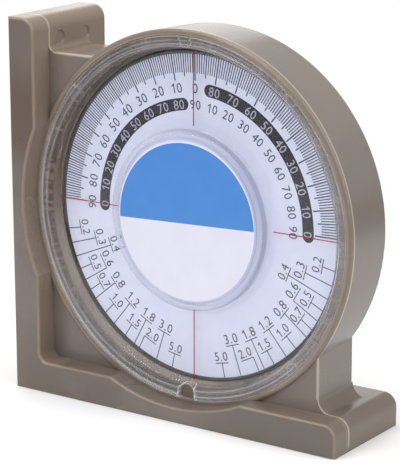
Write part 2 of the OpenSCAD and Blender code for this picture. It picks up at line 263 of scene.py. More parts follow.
def new_group(name, inputs, outputs):
    """Shader node group. Inputs give each name's default, whose size says if it is a colour, vector or number."""
    group = bpy.data.node_groups.new(name, "ShaderNodeTree")
    for label, default in inputs.items():
        kind = SOCKET_OF_SIZE[np.size(default)]
        group.interface.new_socket(name=label, in_out="INPUT", socket_type=kind).default_value = default
    for label, kind in outputs.items():
        group.interface.new_socket(name=label, in_out="OUTPUT", socket_type=kind)
    pen = Finish(group)
    return pen, pen.add("NodeGroupInput").outputs, pen.add("NodeGroupOutput")


def make_cloudy_tone():
    """Colour between two tones: fractal noise, stretched by a contrast."""
    inputs = {"Tone A": (0.5, 0.5, 0.5, 1), "Tone B": (0.6, 0.6, 0.6, 1), "Scale": 60.0, "Vector": (0, 0, 0)}
    pen, given, result = new_group("cloudy_tone", inputs, {"Color": "NodeSocketColor", "Mask": "NodeSocketFloat"})
    mask = pen.smooth(pen.noise(given["Vector"], given["Scale"], 4.0), 0.32, 0.68)
    pen.fill(result, Color=pen.mix(mask, given["Tone A"], given["Tone B"]), Mask=mask)
    return pen.tree


def make_fine_skin():
    """Height of a fine surface: small noise plus a slower swell."""
    pen, given, result = new_group(
        "fine_skin", {"Vector": (0, 0, 0), "Grain": 2500.0, "Swell": 90.0, "Swell Share": 0.5},
        {"Height": "NodeSocketFloat"})
    grain = pen.noise(given["Vector"], given["Grain"], 2.0)
    slow = pen.times(pen.noise(given["Vector"], given["Swell"], 2.0), given["Swell Share"])
    pen.fill(result, Height=pen.math("ADD", grain, slow))
    return pen.tree


def make_rubbed_scratches():
    """Mask of thin scuffs: the ridge lines of a stretched noise, kept where a second noise is high."""
    pen, given, result = new_group(
        "rubbed_scratches", {"Vector": (0, 0, 0), "Scale": 160.0, "Width": 0.02, "Amount": 0.5},
        {"Mask": "NodeSocketFloat"})
    stretch = pen.add("ShaderNodeMapping", n0=given["Vector"], n2=(0.4, 0.9, 0.3), n3=(1.0, 1.0, 0.12))
    lines = pen.noise(stretch.outputs[0], given["Scale"], 1.0)
    ridge = pen.math("ABSOLUTE", pen.math("SUBTRACT", lines, 0.5))
    thin = pen.math("LESS_THAN", ridge, given["Width"])
    here = pen.smooth(pen.noise(given["Vector"], 70.0, 2.0), 0.5, 0.72)
    pen.fill(result, Mask=pen.times(thin, here, given["Amount"]))
    return pen.tree


CLOUDY_TONE = make_cloudy_tone()
FINE_SKIN = make_fine_skin()
RUBBED_SCRATCHES = make_rubbed_scratches()
print("node groups:", [group.name for group in bpy.data.node_groups])


def cloudy(pen, scale, tone_a, tone_b):
    """Outputs of a placed cloudy tone: 0 is its colour and 1 its mask."""
    return pen.add("ShaderNodeGroup", {"node_tree": CLOUDY_TONE},
                   Tone_A=tone_a, Tone_B=tone_b, Scale=scale, Vector=pen.place).outputs


def scuffed(pen, scale, amount):
    """Mask of a placed set of scratches."""
    return pen.add("ShaderNodeGroup", {"node_tree": RUBBED_SCRATCHES},
                   Vector=pen.place, Scale=scale, Width=0.006, Amount=amount).outputs[0]


def skin_relief(pen, strength, depth_mm, grain, swell, swell_share):
    """Fine skin as a bump on the material's normal."""
    skin = pen.add("ShaderNodeGroup", {"node_tree": FINE_SKIN},
                   Vector=pen.place, Grain=grain, Swell=swell, Swell_Share=swell_share)
    pen.relief(skin.outputs[0], strength, depth_mm)


# %% [markdown]
# The small plastic pieces inside are plain mouldings: a tone that drifts a little, a fine swell,
# and scuffs that are paler and rougher. It is all placed by Object coordinates, so it stays put.

# %% Finishes of moulded plastic
def moulded_plastic(name, tone_a, tone_b, roughness, scuff_tone, scuffs):
    """Moulded plastic: drifting tone, fine swell, and scuffs that are paler and rougher."""
    material, pen = new_material(name)
    tone = cloudy(pen, 45.0, tone_a, tone_b)
    scuff = scuffed(pen, 150.0, scuffs)
    rough = pen.smooth(tone[1], 0.0, 1.0, roughness * 0.85, roughness * 1.15)
    pen.look(Base_Color=pen.mix(scuff, tone[0], scuff_tone), Roughness=pen.math("ADD", rough, pen.times(scuff, 0.25)))
    skin_relief(pen, 0.25, 0.04, 1800.0, 120.0, 1.5)
    return material


black_plastic = moulded_plastic("black_dial_plastic", srgb(30, 30, 34), srgb(38, 38, 43), 0.34, srgb(90, 90, 95), 0.3)
nylon = moulded_plastic("natural_nylon", srgb(226, 222, 208), srgb(236, 233, 222), 0.5, srgb(245, 243, 236), 0.2)
print("plastics:", black_plastic.name, nylon.name)


# %% [markdown]
# The frame is glossy taupe ABS. Each tone drifts a little at random, as moulded plastic does, and
# the differences between the zones are painted light and shade: the flat faces that look to the
# front are painted a cool grey-brown, the sides and the recess browner, and the rounded front edges
# and the narrow face round the lens carry a warm painted highlight. The web's edge carries the
# palest painted highlight. Each of those zones lies at a known depth, so masks on the Y of the
# Object coordinates find them: a face by the depth it lies at, an edge by the fraction of a
# millimetre behind it. The painted highlight on the face round the lens lies only near the lens,
# and fades at the lower left, in the lens's lap. The sides of the leg are painted lighter and those
# of the base darker, except near the plain back, and painted shade darkens the front high on the
# leg and towards the right.

# %% Finish of the frame
RIM_FACE_Y = RIM_Y + 0.1
WEB_FACE_Y = RIM_FACE_Y + 1.0
EDGE_R = 0.8
CASE_R = LENS_R + 1.6
TO_LAP = (-0.82, 0, -0.57)
LAP_AT = TO_LAP[0] * AXIS_X + TO_LAP[2] * AXIS_Z + 8.0
ON_FACE = 0.03
LEG_FADE = (LEG_X + 13.0, LEG_X + 17.0)
BASE_FADE = (11.0, 13.0)


def axis_distance(pen, place):
    """Distance of a point from the dial's axis, from its Object coordinates: the length of (x - X, 0, z - Z)."""
    centred = pen.vector("SUBTRACT", place, (AXIS_X * MM, 0, AXIS_Z * MM))
    return pen.vector("LENGTH", pen.vector("MULTIPLY", centred, (1, 0, 1)))


def depth_masks(pen, depth, face_y):
    """Masks of a flat face at a depth and of the rounded edge just behind it."""
    behind = pen.math("SUBTRACT", depth, face_y * MM)
    face = pen.math("LESS_THAN", pen.math("ABSOLUTE", behind), ON_FACE * MM)
    edge_end = pen.smooth_mm(behind, 0.5 * EDGE_R, 1.2 * EDGE_R, 1.0, 0.0)
    return face, pen.times(pen.smooth_mm(behind, ON_FACE, 0.2), edge_end)


def taupe_abs():
    """Glossy taupe with painted light and shade: cool front faces, browner sides, painted highlights on the edges,
    slow drifts and a fine swell.
    """
    material, pen = new_material("taupe_abs")
    across, depth, height = pen.add("ShaderNodeSeparateXYZ", n0=pen.place).outputs
    front_face, front_edge = depth_masks(pen, depth, FRONT_Y)
    rim_face, rim_edge = depth_masks(pen, depth, RIM_FACE_Y)
    web_face, web_edge = depth_masks(pen, depth, WEB_FACE_Y)
    near_lens = pen.smooth_mm(axis_distance(pen, pen.place), CASE_R - 1.5, CASE_R - 0.7, 1.0, 0.25)
    off_lap = pen.smooth_mm(pen.vector("DOT_PRODUCT", pen.place, TO_LAP), LAP_AT - 8.0, LAP_AT + 8.0, 1.0, 0.15)
    # Painted highlight: half strength on the rounded front edges, full on the face round the lens and its edge, near
    # the lens and away from the lens's lap.
    painted_highlight = pen.most(pen.times(front_edge, 0.5), pen.times(pen.most(rim_edge, rim_face), near_lens, off_lap))

    # Tones by face. Each drifts at random as the plastic does; the differences between them are painted light and
    # shade, cool on the front faces.
    side = cloudy(pen, 30.0, srgb(120, 110, 103), srgb(128, 118, 111))
    face = cloudy(pen, 32.0, srgb(107, 95, 87), srgb(122, 112, 106))
    web = cloudy(pen, 38.0, srgb(118, 107, 101), srgb(126, 115, 107))
    warm = cloudy(pen, 60.0, srgb(150, 130, 106), srgb(160, 140, 116))

    off_back = pen.smooth_mm(depth, BACK_Y - 1.2, BACK_Y - 0.4, 1.0, 0.0)
    in_leg = pen.smooth_mm(across, *LEG_FADE, 1.0, 0.0)
    in_base = pen.times(pen.smooth_mm(height, *BASE_FADE, 1.0, 0.0), pen.math("SUBTRACT", 1.0, in_leg), off_back)
    in_leg = pen.times(in_leg, off_back)
    # Painted light and shade on the sides: lighter on the leg, darker on the base, but not near the back.
    sides = pen.mix(in_leg, side[0], srgb(136, 121, 107))
    sides = pen.mix(in_base, sides, srgb(113, 101, 92))
    # Painted shade on the front: darker high on the leg and towards the right.
    high = pen.times(pen.smooth_mm(height, 59.0, 70.0), pen.smooth_mm(height, 80.0, 94.0, 1.0, 0.25))
    front = pen.mix(pen.times(high, in_leg, 0.85), face[0], srgb(101, 85, 74))
    front = pen.mix(pen.smooth_mm(across, 2.0, 24.0, 0.0, 0.8), front, srgb(105, 95, 89))
    tone = pen.mix(front_face, pen.mix(web_face, sides, web[0]), front)
    tone = pen.mix(painted_highlight, tone, warm[0])
    # Painted highlight: a pale line along the web's edge.
    inside = pen.times(pen.smooth_mm(across, LEG_X + 0.6, LEG_X + 1.6), pen.smooth_mm(height, 0.6, 1.6))
    tone = pen.mix(pen.times(web_edge, 0.8, inside), tone, srgb(186, 175, 158))
    pen.look(Base_Color=tone, Roughness=pen.smooth(side[1], 0.0, 1.0, 0.23, 0.3))
    skin_relief(pen, 0.2, 0.04, 1500.0, 110.0, 2.0)
    return material


taupe = taupe_abs()
print("frame:", taupe.name, "of", len(taupe.node_tree.nodes), "nodes")


# %% [markdown]
# The lens is clear acrylic. Cycles lights what lies behind glass poorly, because a shadow ray
# stops at the glass, so shadow rays and the soft rays of diffuse light are let through as if the
# lens weren't there. A thin moulding bends the view less than solid glass does, so at the rim and
# under the boss a share of every other ray goes straight through as well, and what lies behind
# stays visible there. The ridges carry a polished coat that mirrors more than the window does.
# Edges that stand out carry painted highlights: lines of diffuse colour, pale on the rim and grey
# inside the slope, placed by a float attribute of the lens mesh, with a faint painted sheen over the
# whole rim. At the lower left the slope of the rim is full of small reflections, which a painted
# reflection, a faint pale layer with concentric lines, stands for. The boss's wall and the edge of
# the label's well are tinted, as clear plastic is where it is seen edge on, and painted shade makes
# that tint stronger towards the right, the boss's shaded side. Faint wipe marks vary the roughness,
# which is higher on the ridges and the boss.

# %% Clear acrylic
RIM_IN_R = CURSOR_OUT_R + 0.5
SLOPE_R = RIM_IN_R + 1.3
BOSS_R = 24.3
BOSS_TOP_R = 23.7
LABEL_WELL_R = LABEL_R + 0.6
STRAIGHT_AT_SLOPE = 0.85
STRAIGHT_AT_RIDGES = 0.75
STRAIGHT_AT_BOSS = 0.85
# Share and ring spacing of the painted reflection at the lower left.
PAINTED_REFLECTION_SHARE = 0.24
PAINTED_REFLECTION_RINGS = 2 * math.pi / (1.35 * MM)
# Tint of edges seen edge on; painted shade scales it up towards the right.
EDGE_TINT_AND_SHADE = (0.68, 0.69, 0.72, 1)
NEARLY_CLEAR = (0.985, 0.985, 0.99, 1)
# Diffuse tones of the painted highlights and reflection: inside the slope, on the slope, on the ridges.
PAINTED_INNER_TONE, PAINTED_SLOPE_TONE, PAINTED_RIDGE_TONE = (0.3, 0.31, 0.34, 1), (0.86, 0.8, 0.74, 1), (0.86, 0.84, 0.88, 1)


def clear_acrylic():
    """Polished acrylic: tinted edges with painted shade, painted highlights and reflections, wipe marks, and a free
    way for shadow rays.
    """
    material, pen = new_material("clear_acrylic")
    across, depth, _ = pen.add("ShaderNodeSeparateXYZ", n0=pen.place).outputs
    distance = axis_distance(pen, pen.place)
    ridges = pen.smooth_mm(distance, SLOPE_R - 0.1, SLOPE_R + 0.3)
    at_slope = pen.smooth_mm(distance, RIM_IN_R - 0.6, RIM_IN_R)
    on_boss = pen.smooth_mm(distance, BOSS_R + 0.8, BOSS_R + 1.6, 1.0, 0.0)
    haze = pen.noise(pen.place, 55.0, 3.0)
    rough = pen.math("ADD", pen.smooth(haze, 0.3, 0.75, 0.0, 0.012), scuffed(pen, 220.0, 0.05),
                     pen.times(pen.most(ridges, on_boss), 0.14))

    wall = pen.times(pen.smooth_mm(distance, BOSS_TOP_R - 0.2, BOSS_TOP_R),
                     pen.smooth_mm(distance, BOSS_R - 0.1, BOSS_R + 0.2, 1.0, 0.0),
                     pen.smooth_mm(depth, LABEL_Y + 1.2, LABEL_Y + 2.0, 1.0, 0.0))
    well = pen.times(pen.smooth_mm(distance, LABEL_WELL_R - 0.1, LABEL_WELL_R),
                     pen.smooth_mm(distance, LABEL_WELL_R + 0.1, LABEL_WELL_R + 0.2, 1.0, 0.0))
    # Painted shade: the edge tint is stronger towards the right, the boss's shaded side.
    shaded = pen.smooth_mm(across, AXIS_X - 22.0, AXIS_X + 12.0, 0.3, 1.0)
    edge = pen.times(pen.most(wall, pen.times(well, 0.3)), shaded)
    tint = cloudy(pen, 40.0, (0.99, 0.99, 1.0, 1), (0.975, 0.98, 0.99, 1))
    pen.look(Base_Color=pen.mix(edge, tint[0], EDGE_TINT_AND_SHADE), Roughness=rough, Transmission_Weight=1.0, IOR=1.45,
             Coat_Weight=ridges, Coat_IOR=1.8, Coat_Roughness=0.04)

    slope_share = pen.smooth_mm(across, AXIS_X - 5.0, AXIS_X + 25.0, STRAIGHT_AT_SLOPE, 0.4)
    straight = pen.most(pen.times(at_slope, slope_share), pen.times(ridges, STRAIGHT_AT_RIDGES),
                        pen.times(on_boss, STRAIGHT_AT_BOSS))
    clear = pen.add("ShaderNodeBsdfTransparent", Color=pen.mix(edge, NEARLY_CLEAR, EDGE_TINT_AND_SHADE))

    # Painted highlights along the edges, placed by the mesh attribute, and a painted reflection with rings on the
    # slope at the lower left.
    edge_highlight = pen.add("ShaderNodeAttribute", {"attribute_name": "edge_highlight"}).outputs["Fac"]
    patchy = pen.times(edge_highlight, pen.smooth(haze, 0.3, 0.7, 0.55, 1.0))
    below_left = pen.vector("DOT_PRODUCT", pen.place, (-0.6, 0, -0.8))
    rings = pen.math("SINE", pen.times(pen.math("SUBTRACT", distance, RIM_IN_R * MM), PAINTED_REFLECTION_RINGS))
    painted_reflection = pen.times(pen.smooth_mm(below_left, -25.0, -2.0, 0.0, PAINTED_REFLECTION_SHARE), at_slope,
                     pen.math("SUBTRACT", 1.0, pen.times(ridges, 0.7)),
                     pen.smooth(rings, -0.7, 0.9, 0.3, 1.0), pen.smooth(haze, 0.35, 0.65, 0.7, 1.0))
    # Painted highlights and reflection as a diffuse layer.
    painted_light_tone = pen.mix(at_slope, PAINTED_INNER_TONE, pen.mix(ridges, PAINTED_SLOPE_TONE, PAINTED_RIDGE_TONE))
    painted_light = pen.add("ShaderNodeBsdfDiffuse", Color=painted_light_tone, Roughness=0.6)

    open_way = pen.add("ShaderNodeBsdfTransparent", Color=NEARLY_CLEAR)
    glass = pen.blend(straight, pen.shader.outputs[0], clear.outputs[0])
    glass = pen.blend(pen.most(patchy, painted_reflection), glass, painted_light.outputs[0])
    pen.surface(pen.blend(pen.either_ray("Shadow", "Diffuse"), glass, open_way.outputs[0]))
    return material


acrylic = clear_acrylic()
print("lens:", acrylic.name, "of", len(acrylic.node_tree.nodes), "nodes")


# %% [markdown]
# The card is white coated paper and the ink on it is dense but not even: screen print leaves it
# slightly mottled. Ink and card are separate materials, because the print is its own thin piece.

# %% Paper and ink
def printed(name, tone_a, tone_b, roughness, bump):
    """Paper or ink: two close tones in a fine mottle, with a slight tooth and hardly any shine."""
    material, pen = new_material(name)
    tone = cloudy(pen, 260.0, tone_a, tone_b)
    pen.look(Base_Color=tone[0], Roughness=pen.smooth(tone[1], 0.0, 1.0, roughness * 0.9, roughness * 1.1),
             Specular_IOR_Level=0.1)
    skin_relief(pen, bump, 0.02, 3000.0, 300.0, 0.6)
    return material


card_white = printed("card_white", srgb(222, 226, 248), srgb(226, 230, 250), 0.5, 0.03)
ink_dark = printed("ink_dark", srgb(44, 46, 66), srgb(54, 57, 78), 0.45, 0.03)
ink_band = printed("ink_band", srgb(22, 23, 38), srgb(26, 27, 42), 0.6, 0.0)
ink_white = printed("ink_white", srgb(172, 172, 192), srgb(182, 182, 200), 0.5, 0.02)
cursor_red = printed("cursor_red", srgb(160, 36, 62), srgb(176, 46, 72), 0.4, 0.05)
print("paper and ink:", [finish.name for finish in (card_white, ink_dark, ink_band, ink_white, cursor_red)])


# %% [markdown]
# The centre label is one disc in two colours. The border between them runs just below the middle
# and isn't quite level, as the label was stuck on a little turned. A soft step on the height above
# that line mixes the two inks, so no image is needed. The blue print sits a little low and leaves
# a pale margin along the upper edge. The paper is thin, so much of the soft light goes through it.

# %% The two-colour label
BORDER_DROP = 0.65
BORDER_TILT = math.radians(2.4)
PRINT_DROP = 0.5


def label_finish():
    """Blue above a slightly turned line, off-white below it, each with the mottle of print."""
    material, pen = new_material("label_print")
    turned = pen.add("ShaderNodeMapping", {"vector_type": "TEXTURE"}, n0=pen.place,
                     n1=(AXIS_X * MM, 0, (AXIS_Z - BORDER_DROP) * MM), n2=(0, -BORDER_TILT, 0))
    height = pen.add("ShaderNodeSeparateXYZ", n0=turned.outputs[0]).outputs["Z"]
    lowered = pen.vector("ADD", pen.place, (0, 0, PRINT_DROP * MM))
    inside = pen.smooth_mm(axis_distance(pen, lowered), LABEL_R - 0.2, LABEL_R - 0.1, 1.0, 0.0)
    blue_here = pen.times(pen.smooth_mm(height, -0.06, 0.06), inside)
    blue = cloudy(pen, 120.0, srgb(70, 136, 213), srgb(74, 140, 216))
    white = cloudy(pen, 140.0, srgb(226, 226, 243), srgb(230, 229, 246))
    pen.look(Base_Color=pen.mix(blue_here, white[0], blue[0]), Roughness=pen.smooth(blue[1], 0.0, 1.0, 0.36, 0.46))
    skin_relief(pen, 0.1, 0.02, 2600.0, 500.0, 0.5)
    through = pen.add("ShaderNodeBsdfTransparent", Color=(0.9, 0.92, 0.97, 1))
    share = pen.times(pen.either_ray("Shadow", "Diffuse"), 0.8)
    pen.surface(pen.blend(share, pen.shader.outputs[0], through.outputs[0]))
    return material


label_print = label_finish()
print("label:", label_print.name, "of", len(label_print.node_tree.nodes), "nodes")


# %% [markdown]
# The inner metal pieces: brass turned on a lathe carries rings round its axis, plain steel carries
# fine straight drawing lines, and ground ferrite is a dull grey-black with pale specks.

# %% Metals and ferrite
def turned_metal(name, tone_a, tone_b, roughness, ring_scale):
    """Turned metal: rings of the tool about the dial's axis, by distance from it."""
    material, pen = new_material(name)
    rings = pen.math("SINE", pen.times(axis_distance(pen, pen.place), ring_scale))
    pen.look(Base_Color=cloudy(pen, 300.0, tone_a, tone_b)[0], Metallic=1.0,
             Roughness=pen.smooth(rings, -1.0, 1.0, roughness * 0.7, roughness * 1.3))
    pen.relief(rings, 0.2, 0.01)
    return material


def drawn_steel(name, tone_a, tone_b, roughness):
    """Rolled steel: noise stretched along X gives fine straight lines."""
    material, pen = new_material(name)
    stretched = pen.add("ShaderNodeMapping", n0=pen.place, n3=(0.04, 1.0, 1.0))
    lines = pen.noise(stretched.outputs[0], 4200.0, 3.0)
    pen.look(Base_Color=cloudy(pen, 160.0, tone_a, tone_b)[0], Metallic=1.0,
             Roughness=pen.smooth(lines, 0.3, 0.7, roughness * 0.7, roughness * 1.4))
    pen.relief(lines, 0.25, 0.01)
    return material


def ground_ferrite():
    """Ferrite: dull grey-black with small pale specks and grinding marks."""
    material, pen = new_material("ground_ferrite")
    cells = pen.add("ShaderNodeTexVoronoi", Vector=pen.place, Scale=1500.0).outputs["Distance"]
    specks = pen.times(pen.smooth(cells, 0.12, 0.2, 1.0, 0.0), 0.5)
    tone = cloudy(pen, 220.0, srgb(58, 58, 62), srgb(74, 74, 78))
    pen.look(Base_Color=pen.mix(specks, tone[0], srgb(128, 128, 132)),
             Roughness=pen.smooth(tone[1], 0.0, 1.0, 0.42, 0.6))
    skin_relief(pen, 0.35, 0.03, 3200.0, 600.0, 0.4)
    return material


brass = turned_metal("turned_brass", srgb(206, 170, 98), srgb(218, 184, 112), 0.28, 26000.0)
pin_steel = turned_metal("turned_steel", srgb(176, 178, 182), srgb(190, 192, 196), 0.25, 30000.0)
steel = drawn_steel("drawn_steel", srgb(172, 174, 178), srgb(188, 190, 194), 0.32)
ferrite = ground_ferrite()
print("inner pieces:", [finish.name for finish in (brass, pin_steel, steel, ferrite)])

# %% Dress the CAD pieces
FINISHES = {
    "housing_body": taupe, "lens_cover": acrylic, "centre_label": label_print, "cursor_lines": cursor_red,
    "dial_card": card_white, "dial_carrier": black_plastic, "pivot_bush": brass, "counterweight": steel,
    "counterweight_rivets": steel, "pivot_pin": pin_steel, "retaining_clip": pin_steel,
    "front_washer": nylon, "rear_washer": nylon,
    **{f"base_magnet_{number}": ferrite for number in range(1, 5)},
    **{f"backing_disc_{number}": steel for number in range(1, 5)},
}
for node, finish in FINISHES.items():
    cad_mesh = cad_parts[node].data
    cad_mesh.materials.clear()
    cad_mesh.materials.append(finish)
print("dressed", len(FINISHES), "of", len(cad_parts), "CAD pieces")


# %% [markdown]
# The real lens is an injection moulding: every ridge of its rim has a soft radius that draws a
# thin highlight. Its profile is written as corners with a radius each, and each corner is
# replaced by an arc. The profile is then turned about the axis, a surface of two parameters:
# place along the profile, and angle.

# %% A profile with rounded corners
def rounded(corners, arc_steps=5):
    """Open profile from corners (radius, depth, rounding).

    Each inner corner becomes a quadratic arc that starts and ends at the rounding's distance from
    it, so point(t) = (1-t)^2 a + 2t(1-t) corner + t^2 b, for t from 0 to 1.
    """
    corners = np.asarray(corners, float)
    place, corner, size = corners[:, :2], corners[1:-1, :2], corners[1:-1, 2]
    before, after = place[:-2] - corner, place[2:] - corner
    reach_before, reach_after = np.linalg.norm(before, axis=1), np.linalg.norm(after, axis=1)
    size = np.minimum(size, 0.48 * np.minimum(reach_before, reach_after))
    start = corner + before * (size / reach_before)[:, None]
    end = corner + after * (size / reach_after)[:, None]
    t = np.linspace(0, 1, arc_steps)[None, :, None]
    arcs = (1 - t) ** 2 * start[:, None] + 2 * t * (1 - t) * corner[:, None] + t**2 * end[:, None]
    return np.vstack([place[:1], arcs.reshape(-1, 2), place[-1:]])


def refine(profile, longest):
    """Adds points so that no step along the profile is longer than a given length."""
    step = np.linalg.norm(np.diff(profile, axis=0), axis=1)
    along = np.concatenate([[0], np.cumsum(step)])
    counts = np.maximum(np.ceil(step / longest).astype(int), 1)
    parts = [np.linspace(a, b, n, endpoint=False) for a, b, n in zip(along[:-1], along[1:], counts)]
    wanted = np.concatenate(parts + [[along[-1]]])
    return np.stack([np.interp(wanted, along, profile[:, 0]), np.interp(wanted, along, profile[:, 1])], -1)


# %% [markdown]
# The front of the lens, from the middle outwards: the floor under the label, the boss, the flat
# window, the slope of the rim, and two ridges. Small U-shaped marks and a finger notch sit on the
# rim. The marks are a shallow groove along a U, and the notch limits how far out a point may lie.
# The outer ridge is lower over one stretch, at the top left.

# %% The two profiles of the lens
LABEL_FLOOR_Y = LABEL_Y + 0.2
BOSS_Y = LABEL_Y - 0.15
WINDOW_FRONT_Y = WINDOW_Y + 0.03
GROOVE_Y = RIM_Y + 0.5
INNER_RIDGE_Y = RIM_Y + 0.1
SEAT_Y = RIM_Y + 2.4
WALL = 1.0


def lens_front():
    """Profile of the front, from the middle to the rim's outer edge."""
    return rounded([
        [0, LABEL_FLOOR_Y, 0], [LABEL_WELL_R, LABEL_FLOOR_Y, 0.05], [LABEL_WELL_R, BOSS_Y, 0.25],
        [BOSS_TOP_R, BOSS_Y, 0.45], [BOSS_R, WINDOW_FRONT_Y, 0.35], [RIM_IN_R, WINDOW_FRONT_Y, 0.6],
        [SLOPE_R, GROOVE_Y, 0.2], [SLOPE_R + 0.3, INNER_RIDGE_Y, 0.25], [SLOPE_R + 0.9, INNER_RIDGE_Y, 0.25],
        [SLOPE_R + 1.2, GROOVE_Y, 0.15], [SLOPE_R + 1.6, GROOVE_Y, 0.15], [SLOPE_R + 1.9, RIM_Y, 0.25],
        [LENS_R - 0.3, RIM_Y, 0.3], [LENS_R, RIM_Y + 0.5, 0.2], [LENS_R, SEAT_Y - 1.2, 0],
    ])


def lens_back():
    """Profile of the back, from the snap bead and the rim's seat to the middle."""
    return rounded([
        [LENS_R, SEAT_Y - 1.2, 0], [LENS_R + SNAP_BEAD, SEAT_Y - 0.8, 0.1], [LENS_R, SEAT_Y - 0.4, 0.1],
        [LENS_R, SEAT_Y, 0.1], [SLOPE_R - 0.3, SEAT_Y, 0.15], [SLOPE_R - 0.8, LENS_BACK_Y, 0.3],
        [BOSS_R - WALL, LENS_BACK_Y, 0.3], [BOSS_TOP_R - WALL, LABEL_FLOOR_Y + WALL, 0.3],
        [0, LABEL_FLOOR_Y + WALL, 0],
    ])


front = refine(lens_front(), 2.6)
rim_zone = front[:, 0] > SLOPE_R - 1.2
first, last = np.flatnonzero((front[:, 0] > LABEL_WELL_R - 1) & (front[:, 0] < BOSS_R + 1))[[0, -1]]
window = front[last + 1:][~rim_zone[last + 1:]]
front = np.vstack([front[:first], refine(front[first:last + 1], 0.16), window, refine(front[rim_zone], 0.14)])
profile = np.vstack([front, refine(lens_back(), 4.0)[1:]])
print("profile of the lens:", len(front), "points in front,", len(profile), "in all")

# %% Marks, ridge drop and notch
NOTCH_DEG = -90.0
NOTCH_R = 2.3
NOTCH_CENTRE_R = LENS_R - NOTCH_R + 0.4
NOTCH_FOOT_Y = RIM_Y + 3.4
LIP_R = 0.9
U_MARKS = [(90.0, 46.7), (48.0, 47.4), (-46.0, 47.1)]
MARK_HALF_W = 1.7
MARK_DEPTH = 0.34
STEP_DEGREES = (138.0, 105.0, -158.0)
RIDGE_DROP = 0.32


def lens_angles():
    """Angles round the lens: 1.2 degrees apart, and 0.12 where the notch, the marks and the steps are."""
    fine_places = [(NOTCH_DEG, 4.5)] + [(centre, 3.6) for centre, _ in U_MARKS] + [(at, 1.0) for at in STEP_DEGREES]
    parts = [np.arange(-180, 180, 1.2)]
    parts += [np.arange(centre - half, centre + half, 0.12) for centre, half in fine_places]
    every = np.unique(np.round(np.concatenate(parts), 2))
    return np.radians(every[np.concatenate([[True], np.diff(every) > 0.08])])


def bell(distance, width):
    """exp(-(d/w)^2): 1 in the middle, soft towards both sides."""
    return np.exp(-((distance / width) ** 2))


def mark_groove(radius, angle):
    """Depth of the U-shaped marks: a bell of the distance to each U, which opens outwards."""
    depth = np.zeros(np.broadcast(radius, angle).shape)
    for centre, at in U_MARKS:
        from_centre = angle - math.radians(centre)
        across, out = radius * np.sin(from_centre), radius * np.cos(from_centre) - at
        arm = np.abs(np.where(out > 0, np.abs(across), np.hypot(across, out * 1.2)) - MARK_HALF_W)
        depth += np.where(np.abs(from_centre) < math.radians(5), MARK_DEPTH * bell(arm, 0.26), 0)
    return depth


def ridge_drop(radius, angle):
    """The outer ridge lies lower between the first two steps, from 105 to 138 degrees."""
    degrees = np.degrees(angle)
    gap = np.clip((degrees - 104.7) / 0.5, 0, 1) * np.clip((138.2 - degrees) / 0.5, 0, 1)
    return RIDGE_DROP * gap * np.clip((radius - (SLOPE_R + 1.5)) / 0.3, 0, 1)


angles = lens_angles()
plain_r, turn = np.meshgrid(profile[1:-1, 0], angles, indexing="ij")
ring_y = np.repeat(profile[1:-1, 1][:, None], len(angles), 1)
on_front = (np.arange(1, len(profile) - 1) < len(front))[:, None]
on_rim = on_front & (plain_r > SLOPE_R - 0.9) & (ring_y < RIM_Y + 3.0)
ring_y = ring_y + np.where(on_rim, mark_groove(plain_r, turn) + ridge_drop(plain_r, turn), 0)

# The notch: points past its round outline are pulled in to it, and a lip dips towards it.
from_middle = turn - math.radians(NOTCH_DEG)
near_notch = np.abs(from_middle) < 0.2
across = NOTCH_CENTRE_R * np.sin(from_middle)
outline = NOTCH_CENTRE_R - np.sqrt(np.clip(NOTCH_R**2 - across**2, 0, None))
limit = np.where(near_notch & (np.abs(across) < NOTCH_R), outline, np.inf)
from_notch = np.hypot(across, np.minimum(plain_r, NOTCH_CENTRE_R + NOTCH_R) - NOTCH_CENTRE_R)
from_notch = np.where(plain_r > NOTCH_CENTRE_R, np.abs(across), from_notch) - NOTCH_R
lip = np.clip(1 - from_notch / LIP_R, 0, 1)
ring_y = ring_y + np.where(on_rim & near_notch, LIP_R * 0.7 * (1 - np.sqrt(1 - lip**2)), 0)
ring_r = np.where(ring_y < NOTCH_FOOT_Y, np.minimum(plain_r, limit), plain_r)
print("rings and angles of the lens:", ring_r.shape)

# %% The clear lens
# Radii and weights of the painted highlight lines on the rim and on the boss.
EDGE_LINES = [(SLOPE_R + 0.3, 0.3), (SLOPE_R + 0.9, 0.26), (SLOPE_R + 1.85, 0.34), (LENS_R - 0.2, 0.42)]
BOSS_LINES = [(LABEL_WELL_R + 0.3, 0.42), (BOSS_TOP_R - 0.3, 0.3)]


def turned_surface(ring_r, ring_y, turn, first, last):
    """Closed surface of rings, with one pole point at each end. Faces point outwards."""
    rings, steps = ring_r.shape
    points = np.vstack([polar(ring_r, turn, ring_y).reshape(-1, 3), polar(0.0, 0.0, first), polar(0.0, 0.0, last)])
    ring = np.arange(steps)
    quads = grid_quads(rings, steps, closed=True)[:, [2, 1, 0, 3]]
    front_fan = fan(ring, rings * steps)[:, [1, 0, 2]]
    back_fan = fan(ring + (rings - 1) * steps, rings * steps + 1)
    return points, quads.tolist() + front_fan.tolist() + back_fan.tolist()


